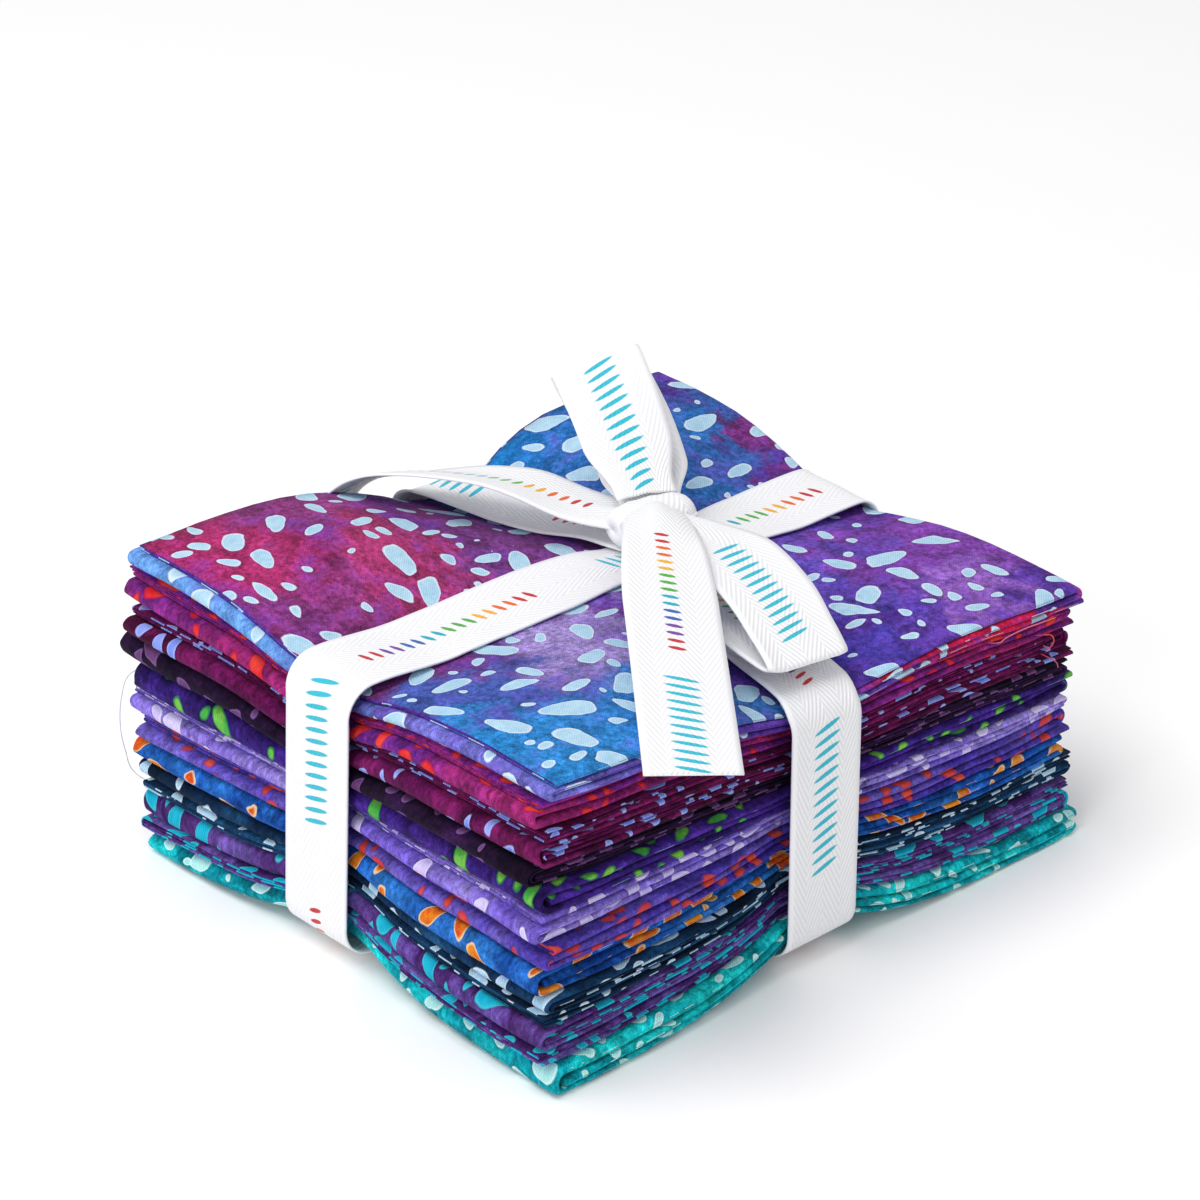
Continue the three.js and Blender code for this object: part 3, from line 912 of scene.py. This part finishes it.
class BUNDLE_OT_knot(bpy.types.Operator):
    """Wrap the middle of the bow with its turn of tape"""

    bl_idname = "bundle.knot"
    bl_label = "Knot"

    def execute(self, context):
        settings = context.scene.bundle_tape
        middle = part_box("knot")
        height = (middle[0][2] + middle[1][2]) / 2 / MM
        way = math.radians(KNOT_HEADING)

        def place(i, j):
            share = j / (WRAP_ROWS - 1) * 2 - 1
            angle = WRAP_START - WRAP_SWEEP * i / (WRAP_COLUMNS - 1)
            lap = lerp(-0.5, 0.35, i / (WRAP_COLUMNS - 1))
            along = WRAP_HALF * math.sin(share * math.pi / 2) + WRAP_ASIDE
            round_off = max(0.0, math.cos(share * math.pi / 2)) ** 0.3
            crease = WRAP_CREASE * math.sin(along * 1.25 + 0.8 * math.sin(angle))
            bulge = (WRAP_RADIUS + lap + crease) * round_off
            out = bulge * math.cos(angle)
            up = bulge * math.sin(angle) * WRAP_FLATNESS
            return in_frame(
                KNOT[0] + along * math.cos(way) - out * math.sin(way),
                KNOT[1] + along * math.sin(way) + out * math.cos(way),
                height + up,
            )

        def flat(i, j):
            along = TAPE_FROM["knot"] + i / (WRAP_COLUMNS - 1) * WRAP_LENGTH
            return along * MM, (j / (WRAP_ROWS - 1) - 0.5) * settings.width * WRAP_SPREAD

        grid = flat_grid(WRAP_COLUMNS, WRAP_ROWS, place, flat)
        piece = new_piece("knot_wrap", grid, tape_material(), settings.thickness)
        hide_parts("knot")
        return {"FINISHED"}


# Materials


def linear(hex_colour):
    """An sRGB hex colour as linear RGBA."""
    channels = [int(hex_colour[i : i + 2], 16) / 255 for i in (1, 3, 5)]
    return (*(c / 12.92 if c <= 0.04045 else ((c + 0.055) / 1.055) ** 2.4 for c in channels), 1.0)


def add_node(tree, kind, inputs=None, **settings):
    """Add a node, set it, and fill each input with a number or a colour, or with a link from a socket
    or from the first output of another node."""
    node = tree.nodes.new(f"ShaderNode{kind}")
    for name, value in settings.items():
        setattr(node, name, value)
    for name, value in (inputs or {}).items():
        if isinstance(value, bpy.types.Node):
            value = value.outputs[0]
        if isinstance(value, bpy.types.NodeSocket):
            tree.links.new(value, node.inputs[name])
        else:
            node.inputs[name].default_value = value
    return node


def new_material(name):
    material = bpy.data.materials.new(name)
    material.use_nodes = True
    tree = material.node_tree
    tree.nodes.clear()
    return material, tree


def flat_cloth(tree):
    """Places on the flat cloth, in millimetres."""
    uv = add_node(tree, "UVMap", uv_map="Cloth")
    return add_node(tree, "VectorMath", {0: uv, 3: 1 / MM}, operation="SCALE")


def pebbles(tree, flat, spacing, reach, share, stretch, seed):
    """How far inside a wax pebble each point is, in millimetres, below 0 outside, and the middle of
    its cell. Each pebble is an egg of its own size and turn, kept inside its own cell."""
    shift = (seed * 37.1, seed * 17.3, 0)
    moved = add_node(tree, "VectorMath", {0: flat, 1: shift}, operation="ADD")
    scaled = add_node(tree, "VectorMath", {0: moved, 3: 1 / spacing}, operation="SCALE")
    cells = {"Vector": scaled, "Scale": 1.0, "Randomness": 0.8}
    cell = add_node(tree, "TexVoronoi", cells, voronoi_dimensions="2D")
    edge = add_node(tree, "TexVoronoi", cells, voronoi_dimensions="2D", feature="DISTANCE_TO_EDGE")
    position = cell.outputs["Position"]
    chance = add_node(tree, "SeparateColor", {0: cell.outputs["Color"]})
    toward = add_node(tree, "VectorMath", {0: scaled, 1: position}, operation="SUBTRACT")
    angle = add_node(tree, "Math", {0: chance.outputs["Red"], 1: math.tau}, operation="MULTIPLY")
    turned_to = add_node(tree, "VectorRotate", {"Vector": toward, "Angle": angle}, rotation_type="Z_AXIS")
    axes = add_node(tree, "SeparateXYZ", {0: turned_to})
    taper = add_node(tree, "Math", {0: axes.outputs["X"], 1: 1.1, 2: stretch}, operation="MULTIPLY_ADD")
    long_way = add_node(tree, "Math", {0: axes.outputs["X"], 1: 1 / stretch}, operation="MULTIPLY")
    short_way = add_node(tree, "Math", {0: axes.outputs["Y"], 1: taper}, operation="MULTIPLY")
    egg = add_node(tree, "CombineXYZ", {0: long_way, 1: short_way})
    distance = add_node(tree, "VectorMath", {0: egg}, operation="LENGTH").outputs["Value"]
    sizes = {"Value": chance.outputs["Green"], "To Min": reach[0], "To Max": reach[1]}
    size = add_node(tree, "MapRange", sizes)
    inside = add_node(tree, "Math", {0: size, 1: distance}, operation="SUBTRACT")
    room = add_node(tree, "Math", {0: edge.outputs["Distance"], 1: 0.06}, operation="SUBTRACT")
    kept = add_node(tree, "Math", {0: inside, 1: room, 2: 0.16}, operation="SMOOTH_MIN")
    drawn_here = add_node(tree, "Math", {0: chance.outputs["Blue"], 1: share}, operation="LESS_THAN")
    hidden = add_node(tree, "Math", {0: drawn_here, 1: 1.0}, operation="SUBTRACT")
    shown = add_node(tree, "Math", {0: kept, 1: hidden}, operation="ADD")
    depth = add_node(tree, "Math", {0: shown, 1: spacing}, operation="MULTIPLY")
    middle = add_node(tree, "VectorMath", {0: position, 3: spacing}, operation="SCALE")
    centre = add_node(tree, "VectorMath", {0: middle, 1: shift}, operation="SUBTRACT")
    return depth, centre


# Noise in the dyeing and in the cloth: its size in millimetres, its detail and its roughness.
UNEVENNESS = {
    "drift": (42, 5.0, 0.6),
    "waver": (18, 5.0, 0.62),
    "bleed": (14, 6.0, 0.66),
    "wash": (7, 7.0, 0.7),
    "fleck": (1.3, 5.0, 0.78),
    "ragged": (3.6, 1.5, 0.5),
    "soft": (9, 3.0, 0.5),
}
MOST = {"From Min": 0.3, "From Max": 0.7}  # where most of a noise's values lie
POOL_STRAY = (60, 60, 0)  # how far the edges of a pool stray, in millimetres


def dye_pools(tree, flat, waver, ground, pools):
    """Pools of dye brushed over the ground one after another, with edges that stray."""
    even = (0.5, 0.5, 0.5)
    away = add_node(tree, "VectorMath", {0: waver.outputs["Color"], 1: even}, operation="SUBTRACT")
    spread = add_node(tree, "VectorMath", {0: away, 1: POOL_STRAY}, operation="MULTIPLY")
    strayed = add_node(tree, "VectorMath", {0: flat, 1: spread}, operation="ADD")
    colour = ground
    for length, width, radius, pool in pools:
        middle = (length, width, 0)
        distance = add_node(tree, "VectorMath", {0: strayed, 1: middle}, operation="DISTANCE")
        reach = {"From Min": radius * 1.15, "From Max": radius * 0.45}
        share = add_node(
            tree,
            "MapRange",
            {"Value": distance.outputs["Value"], **reach},
            interpolation_type="SMOOTHSTEP",
        )
        mixed = add_node(tree, "Mix", {0: share, 6: colour, 7: linear(pool)}, data_type="RGBA")
        colour = mixed.outputs[2]
    return colour


def dyed_ground(tree, flat, uneven, dye, pools):
    """Ground: slow drift between three dyes. Over it a second dye bleeds in at about 14 mm and leaves
    dark veins, the dye settles in washes about 7 mm across, and flecks under 2 mm catch the threads."""
    ground = add_node(tree, "ValToRGB", {0: uneven["drift"]})
    stops = ground.color_ramp.elements
    stops.new(0.5)
    main, second, third = dye.ground
    for stop, position, colour in zip(stops, (0.4, 0.5, 0.6), (third, main, second)):
        stop.position = position
        stop.color = linear(colour)
    pooled = dye_pools(tree, flat, uneven["waver"], ground, pools) if pools else ground
    bleeding = {"Value": uneven["bleed"], "From Min": 0.5, "From Max": 0.66, "To Max": 0.6}
    bled = add_node(tree, "MapRange", bleeding)
    crossed = add_node(tree, "Mix", {0: bled, 6: pooled, 7: linear(third)}, data_type="RGBA")
    from_vein = add_node(tree, "Math", {0: uneven["bleed"], 1: 0.47}, operation="SUBTRACT")
    off_vein = add_node(tree, "Math", {0: from_vein}, operation="ABSOLUTE")
    vein = add_node(tree, "MapRange", {"Value": off_vein, "From Max": 0.035, "To Min": 0.74})
    settled = add_node(tree, "MapRange", {"Value": uneven["wash"], **MOST, "To Min": 0.5, "To Max": 1.62})
    flecked = add_node(tree, "MapRange", {"Value": uneven["fleck"], **MOST, "To Min": 0.6, "To Max": 1.5})
    depth = add_node(tree, "Math", {0: settled, 1: flecked}, operation="MULTIPLY")
    shade = add_node(tree, "Math", {0: depth, 1: vein}, operation="MULTIPLY")
    return add_node(tree, "VectorMath", {0: crossed.outputs[2], 3: shade}, operation="SCALE")


def waxed_pebbles(tree, flat, uneven, dye, seed, ground):
    """Pebbles of wax on the ground: large ones, and small ones in the room between them. Their outlines
    waver, the dye seeps dark round them, and they have rims of their own colour."""
    wavering = {"Value": uneven["ragged"], **MOST, "To Min": -0.24, "To Max": 0.24}
    wobble = add_node(tree, "MapRange", wavering)
    large_ones = (dye.spacing, dye.reach, 0.8, 1.5, seed)
    little_reach = (dye.reach[0] * 0.8, dye.reach[1] * 0.8)
    large, _ = pebbles(tree, flat, *large_ones)
    little, centre = pebbles(tree, flat, dye.small, little_reach, 0.6, 1.25, seed + 3.7)
    beside, _ = pebbles(tree, centre, *large_ones)
    crowded = add_node(tree, "Math", {0: beside, 1: -0.5 * dye.small}, operation="GREATER_THAN")
    between = add_node(tree, "Math", {0: crowded, 1: -9.0, 2: little}, operation="MULTIPLY_ADD")
    either = add_node(tree, "Math", {0: large, 1: between}, operation="MAXIMUM")
    inside = add_node(tree, "Math", {0: either, 1: wobble}, operation="ADD")
    drift = add_node(tree, "MapRange", {"Value": uneven["wash"], "From Min": 0.4, "From Max": 0.6})
    first, second = (linear(fill) for fill in dye.fills)
    fill = add_node(tree, "Mix", {0: drift, 6: first, 7: second}, data_type="RGBA").outputs[2]
    at_rim = add_node(tree, "MapRange", {"Value": inside, "From Min": 0.55, "From Max": 0.2})
    rim = linear(dye.rim)
    rimmed = add_node(tree, "Mix", {0: at_rim, 6: fill, 7: rim}, data_type="RGBA").outputs[2]
    seeping = {"Value": inside, "From Min": -0.7, "From Max": 0.0, "To Min": 1.0, "To Max": 0.8}
    seep = add_node(tree, "MapRange", seeping)
    seeped = add_node(tree, "VectorMath", {0: ground, 3: seep}, operation="SCALE")
    on_wax = add_node(tree, "MapRange", {"Value": inside, "From Min": -0.1, "From Max": 0.12})
    return add_node(tree, "Mix", {0: on_wax, 6: seeped, 7: rimmed}, data_type="RGBA").outputs[2]


def batik(name, dye, seed, pools):
    """Batik quilting cotton: plain-woven, wax-printed with pebbles and piece-dyed by hand, so the
    ground drifts between dyes, looks mottled where the dye settled, and the pebbles have pale rims."""
    material, tree = new_material(name)
    flat = flat_cloth(tree)
    own_place = (seed * 71.0, seed * 43.0, 0)
    offset = add_node(tree, "VectorMath", {0: flat, 1: own_place}, operation="ADD")
    uneven = {}
    for kind, (size, detail, roughness) in UNEVENNESS.items():
        if kind != "waver" or pools:
            grain = {"Vector": offset, "Scale": 1 / size, "Detail": detail, "Roughness": roughness}
            uneven[kind] = add_node(tree, "TexNoise", grain, noise_dimensions="2D")
    ground = dyed_ground(tree, flat, uneven, dye, pools)
    dyed = waxed_pebbles(tree, flat, uneven, dye, seed, ground)

    # Weave: threads drawn at twice their real spacing, so that they show as a crisp fine grain, with
    # slubs where a thread runs thick. The colour is painted lighter on the thread crowns and darker
    # between them: a painted highlight and painted shade, beside the bump from the same weave.
    turns = math.tau * MM / bpy.context.scene.bundle_cloth.thread_spacing
    phase = add_node(tree, "VectorMath", {0: flat, 3: turns}, operation="SCALE")
    waves = add_node(tree, "VectorMath", {0: phase}, operation="SINE")
    threads = add_node(tree, "SeparateXYZ", {0: waves})
    warp, weft = threads.outputs["X"], threads.outputs["Y"]
    weave = add_node(tree, "Math", {0: warp, 1: weft}, operation="MULTIPLY")
    # Painted highlight on the thread crowns and painted shade in the dips between them.
    painted_crown_light = {"Value": weave, "From Min": -1.0, "From Max": 1.0, "To Min": 0.84, "To Max": 1.1}
    light = add_node(tree, "MapRange", painted_crown_light)
    slub = add_node(tree, "MapRange", {"Value": uneven["fleck"], **MOST, "To Min": 0.9, "To Max": 1.08})
    spun = add_node(tree, "Math", {0: light, 1: slub}, operation="MULTIPLY")
    woven = add_node(tree, "VectorMath", {0: dyed, 3: spun}, operation="SCALE")
    relief = add_node(tree, "Math", {0: weave, 1: 0.05, 2: uneven["soft"]}, operation="MULTIPLY_ADD")
    bump = add_node(tree, "Bump", {"Height": relief, "Strength": 0.5, "Distance": 0.0011})
    finish = {
        "Base Color": woven,
        "Roughness": 0.82,
        "Specular IOR Level": 0.05,
        "Sheen Weight": 0.02,
        "Sheen Roughness": 0.5,
        "Normal": bump,
    }
    add_node(tree, "OutputMaterial", {"Surface": add_node(tree, "BsdfPrincipled", finish)})
    return material


RIB_SLANT = math.radians(26)  # between the ribs of the herringbone and the tape's length
TAPE_COLUMNS = 4
SELVEDGE = (8.5, 8.9)  # where the ribs start to fade and end, out from the tape's middle

# Dashes on the tape: their pitch in millimetres, the steps before the pattern repeats, the step where
# the long ones start, how far short and long ones reach out from the middle, half their width, how much
# they lean, and the first step of each colour, where None is bare tape.
DASH_PITCH, DASH_STEPS, LONG_DASHES = 2.82, 40, 20
SHORT_REACH, LONG_REACH, DASH_HALF, DASH_LEAN = 1.9, 3.7, 0.62, 0.3
DASHES = (
    (0, "#c22f38"),
    (2, "#e2672a"),
    (4, "#e8ac34"),
    (6, "#56a848"),
    (9, "#24a8ba"),
    (11, "#3560b0"),
    (13, "#74469a"),
    (15, "#c22f38"),
    (17, None),
    (20, "#35b6cb"),
    (33, None),
)


def herringbone(tree, length, across, width, spacing):
    """Height of the ribs, from -1 to 1: they slant across each column and turn back at the next, and end
    at a plain selvedge."""
    folded = add_node(tree, "Math", {0: across, 1: width / TAPE_COLUMNS}, operation="PINGPONG")
    over = add_node(tree, "Math", {0: folded, 1: math.cos(RIB_SLANT) / spacing}, operation="MULTIPLY")
    slope = -math.sin(RIB_SLANT) / spacing
    rib = add_node(tree, "Math", {0: length, 1: slope, 2: over}, operation="MULTIPLY_ADD")
    phase = add_node(tree, "Math", {0: rib, 1: math.tau}, operation="MULTIPLY")
    wave = add_node(tree, "Math", {0: phase}, operation="SINE")
    out = add_node(tree, "Math", {0: across}, operation="ABSOLUTE")
    fading = {"Value": out, "From Min": SELVEDGE[0], "From Max": SELVEDGE[1]}
    at_edge = add_node(tree, "MapRange", fading)
    return add_node(tree, "Mix", {0: at_edge, 2: wave, 3: 0.2}, data_type="FLOAT")


def dashes(tree, length, across):
    """How much dye a dash leaves at a point, and its colour. The dashes lie in one line along the tape,
    leaning a little, with bare tape between the groups."""
    count = add_node(tree, "Math", {0: length, 1: DASH_PITCH}, operation="DIVIDE")
    number = add_node(tree, "Math", {0: count}, operation="FLOOR")
    in_cell = add_node(tree, "Math", {0: count, 1: number}, operation="SUBTRACT")
    centred = add_node(tree, "Math", {0: in_cell, 1: 0.5}, operation="SUBTRACT")
    along = add_node(tree, "Math", {0: centred, 1: DASH_PITCH}, operation="MULTIPLY")
    step = add_node(tree, "Math", {0: number, 1: DASH_STEPS}, operation="FLOORED_MODULO")
    middles = {0: step, 1: 1 / DASH_STEPS, 2: 0.5 / DASH_STEPS}
    which = add_node(tree, "Math", middles, operation="MULTIPLY_ADD")
    long_ones = add_node(tree, "Math", {0: step, 1: LONG_DASHES - 0.5}, operation="GREATER_THAN")
    reaches = {"Value": long_ones, "To Min": 1 / SHORT_REACH, "To Max": 1 / LONG_REACH}
    reach = add_node(tree, "MapRange", reaches)
    lean = add_node(tree, "Math", {0: across, 1: DASH_LEAN, 2: along}, operation="MULTIPLY_ADD")
    narrow = add_node(tree, "Math", {0: lean, 1: 1 / DASH_HALF}, operation="MULTIPLY")
    tall = add_node(tree, "Math", {0: across, 1: reach}, operation="MULTIPLY")
    dash = add_node(tree, "CombineXYZ", {0: narrow, 1: tall})
    distance = add_node(tree, "VectorMath", {0: dash}, operation="LENGTH").outputs["Value"]
    inside = add_node(tree, "MapRange", {"Value": distance, "From Min": 1.08, "From Max": 0.88})
    dyes = add_node(tree, "ValToRGB", {0: which})
    dyes.color_ramp.interpolation = "CONSTANT"
    stops = dyes.color_ramp.elements
    stops.remove(stops[1])
    for first, dye in DASHES:
        stop = stops.new(first / DASH_STEPS) if first else stops[0]
        stop.color = linear(dye) if dye else (0, 0, 0, 0)
    printed = add_node(tree, "Math", {0: inside, 1: dyes.outputs["Alpha"]}, operation="MULTIPLY")
    return printed, dyes


def tape_material():
    """Herringbone tape: bleached cotton, twill-woven in columns that slant one way and the other, with
    a plain selvedge. It looks matt white with faint slanting ribs and bears small dyed dashes."""
    if "herringbone_tape" in bpy.data.materials:
        return bpy.data.materials["herringbone_tape"]
    material, tree = new_material("herringbone_tape")
    settings = bpy.context.scene.bundle_tape
    flat = flat_cloth(tree)
    place = add_node(tree, "SeparateXYZ", {0: flat})
    length, across = place.outputs["X"], place.outputs["Y"]
    height = herringbone(tree, length, across, settings.width / MM, settings.rib_spacing / MM)
    # The furrows between the ribs are painted a shade greyer than the crowns: painted shade, beside the
    # bump from the same ribs.
    shade = add_node(tree, "MapRange", {"Value": height, "From Min": -1.0, "From Max": 0.3})
    shaded_furrow, crown = linear("#e9e9ea"), linear(settings.colour)
    shaded_yarn = add_node(tree, "Mix", {0: shade, 6: shaded_furrow, 7: crown}, data_type="RGBA").outputs[2]
    printed, dye = dashes(tree, length, across)
    marked = add_node(tree, "Mix", {0: printed, 6: shaded_yarn, 7: dye}, data_type="RGBA").outputs[2]
    finish = {
        "Base Color": marked,
        "Roughness": 0.8,
        "Specular IOR Level": 0.3,
        "Sheen Weight": 0.15,
        "Sheen Roughness": 0.4,
        "Normal": add_node(tree, "Bump", {"Height": height, "Strength": 0.5, "Distance": 0.00014}),
    }
    add_node(tree, "OutputMaterial", {"Surface": add_node(tree, "BsdfPrincipled", finish)})
    return material


def faintly_mottled(name, colour, scale, detail, shades, roughness):
    """A matt surface of one colour that drifts between a darker and a lighter shade of it."""
    material, tree = new_material(name)
    coordinates = add_node(tree, "TexCoord").outputs["Object"]
    mottle = add_node(tree, "TexNoise", {"Vector": coordinates, "Scale": scale, "Detail": detail})
    shade = add_node(tree, "MapRange", {"Value": mottle, "To Min": shades[0], "To Max": shades[1]})
    toned = add_node(tree, "VectorMath", {0: linear(colour)[:3], 3: shade}, operation="SCALE")
    shader = add_node(tree, "BsdfPrincipled", {"Base Color": toned, "Roughness": roughness})
    add_node(tree, "OutputMaterial", {"Surface": shader})
    return material


def spun_cotton(name, colour):
    """Spun cotton thread, dyed with its cloth: matt, with a faint fleck along it."""
    return faintly_mottled(name, colour, 900.0, 2.0, (0.75, 1.2), 0.85)


def painted_board(name, colour):
    """Matt painted board: an even pale field with the slightest roller mottle."""
    return faintly_mottled(name, colour, 30.0, 3.0, (0.99, 1.0), 0.9)


# Stage


CAMERA = {"heading": -42.6, "rise": 27.9, "distance": 1005.53, "aside": (1.9326, -53.53), "lens": 135.0}


def softbox(name, place, aim, size, power):
    light = bpy.data.lights.new(name, "AREA")
    light.shape = "SQUARE"
    light.size = size
    light.energy = power
    holder = bpy.data.objects.new(name, light)
    bpy.context.collection.objects.link(holder)
    holder.location = place
    holder.rotation_euler = (Vector(aim) - Vector(place)).to_track_quat("-Z", "Y").to_euler()


class BUNDLE_OT_stage(bpy.types.Operator):
    """Lay the floor, and set the camera and the lights"""

    bl_idname = "bundle.stage"
    bl_label = "Stage"

    def execute(self, context):
        settings = context.scene.bundle_stage
        scene = context.scene
        scene.view_settings.view_transform = "Standard"

        ground = bmesh.new()
        bmesh.ops.create_grid(ground, x_segments=2, y_segments=2, size=6.0)
        mesh = bpy.data.meshes.new("floor")
        ground.to_mesh(mesh)
        ground.free()
        floor = bpy.data.objects.new("floor", mesh)
        context.collection.objects.link(floor)
        mesh.materials.append(painted_board("painted_board", settings.floor_colour))

        world = bpy.data.worlds.new("white_surround")
        world.use_nodes = True
        world.node_tree.nodes["Background"].inputs[0].default_value = (1, 1, 1, 1)
        world.node_tree.nodes["Background"].inputs[1].default_value = settings.sky
        scene.world = world
        softbox("key_softbox", (-0.5, 0.1, 1.3), (0, 0, 0.05), 0.9, settings.key_power)
        softbox("side_softbox", (-1.4, -0.5, 0.7), (0, 0, 0.05), 0.8, settings.side_power)

        heading = math.radians(CAMERA["heading"])
        rise = math.radians(CAMERA["rise"])
        back = Vector(
            (math.sin(heading) * math.cos(rise), -math.cos(heading) * math.cos(rise), math.sin(rise))
        )
        right = Vector((0, 0, 1)).cross(back).normalized()
        up = back.cross(right)
        across, over = CAMERA["aside"]
        place = back * CAMERA["distance"] - right * across - up * over
        lens = bpy.data.cameras.new("camera")
        lens.lens = CAMERA["lens"]
        lens.sensor_width = 36.0
        lens.clip_start = 0.05
        camera = bpy.data.objects.new("camera", lens)
        context.collection.objects.link(camera)
        camera.location = in_frame(*place)
        camera.rotation_euler = back.to_track_quat("Z", "Y").to_euler()
        scene.camera = camera
        return {"FINISHED"}


class BUNDLE_PT_panel(bpy.types.Panel):
    bl_idname = "BUNDLE_PT_panel"
    bl_label = "Fat quarter bundle"
    bl_space_type = "VIEW_3D"
    bl_region_type = "UI"
    bl_category = "Bundle"

    def draw(self, context):
        for group in ("bundle_cloth", "bundle_tape", "bundle_stage"):
            settings = getattr(context.scene, group)
            box = self.layout.box()
            for name in settings.__annotations__:
                box.prop(settings, name)
        for operator in MAKING_ORDER:
            self.layout.operator(operator.bl_idname)


MAKING_ORDER = (
    BUNDLE_OT_stage,
    BUNDLE_OT_fat_quarters,
    BUNDLE_OT_straps,
    BUNDLE_OT_knot,
    BUNDLE_OT_loops_and_tails,
)
CLASSES = (ClothSettings, TapeSettings, StageSettings, *MAKING_ORDER, BUNDLE_PT_panel)


def register():
    for cls in CLASSES:
        bpy.utils.register_class(cls)
    bpy.types.Scene.bundle_cloth = bpy.props.PointerProperty(type=ClothSettings)
    bpy.types.Scene.bundle_tape = bpy.props.PointerProperty(type=TapeSettings)
    bpy.types.Scene.bundle_stage = bpy.props.PointerProperty(type=StageSettings)


def unregister():
    del bpy.types.Scene.bundle_stage
    del bpy.types.Scene.bundle_tape
    del bpy.types.Scene.bundle_cloth
    for cls in reversed(CLASSES):
        bpy.utils.unregister_class(cls)


def main():
    register()
    bpy.ops.bundle.stage()
    bpy.ops.bundle.fat_quarters()
    bpy.ops.bundle.straps()
    bpy.ops.bundle.knot()
    bpy.ops.bundle.loops_and_tails()
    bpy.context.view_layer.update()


if __name__ == "__main__":
    main()
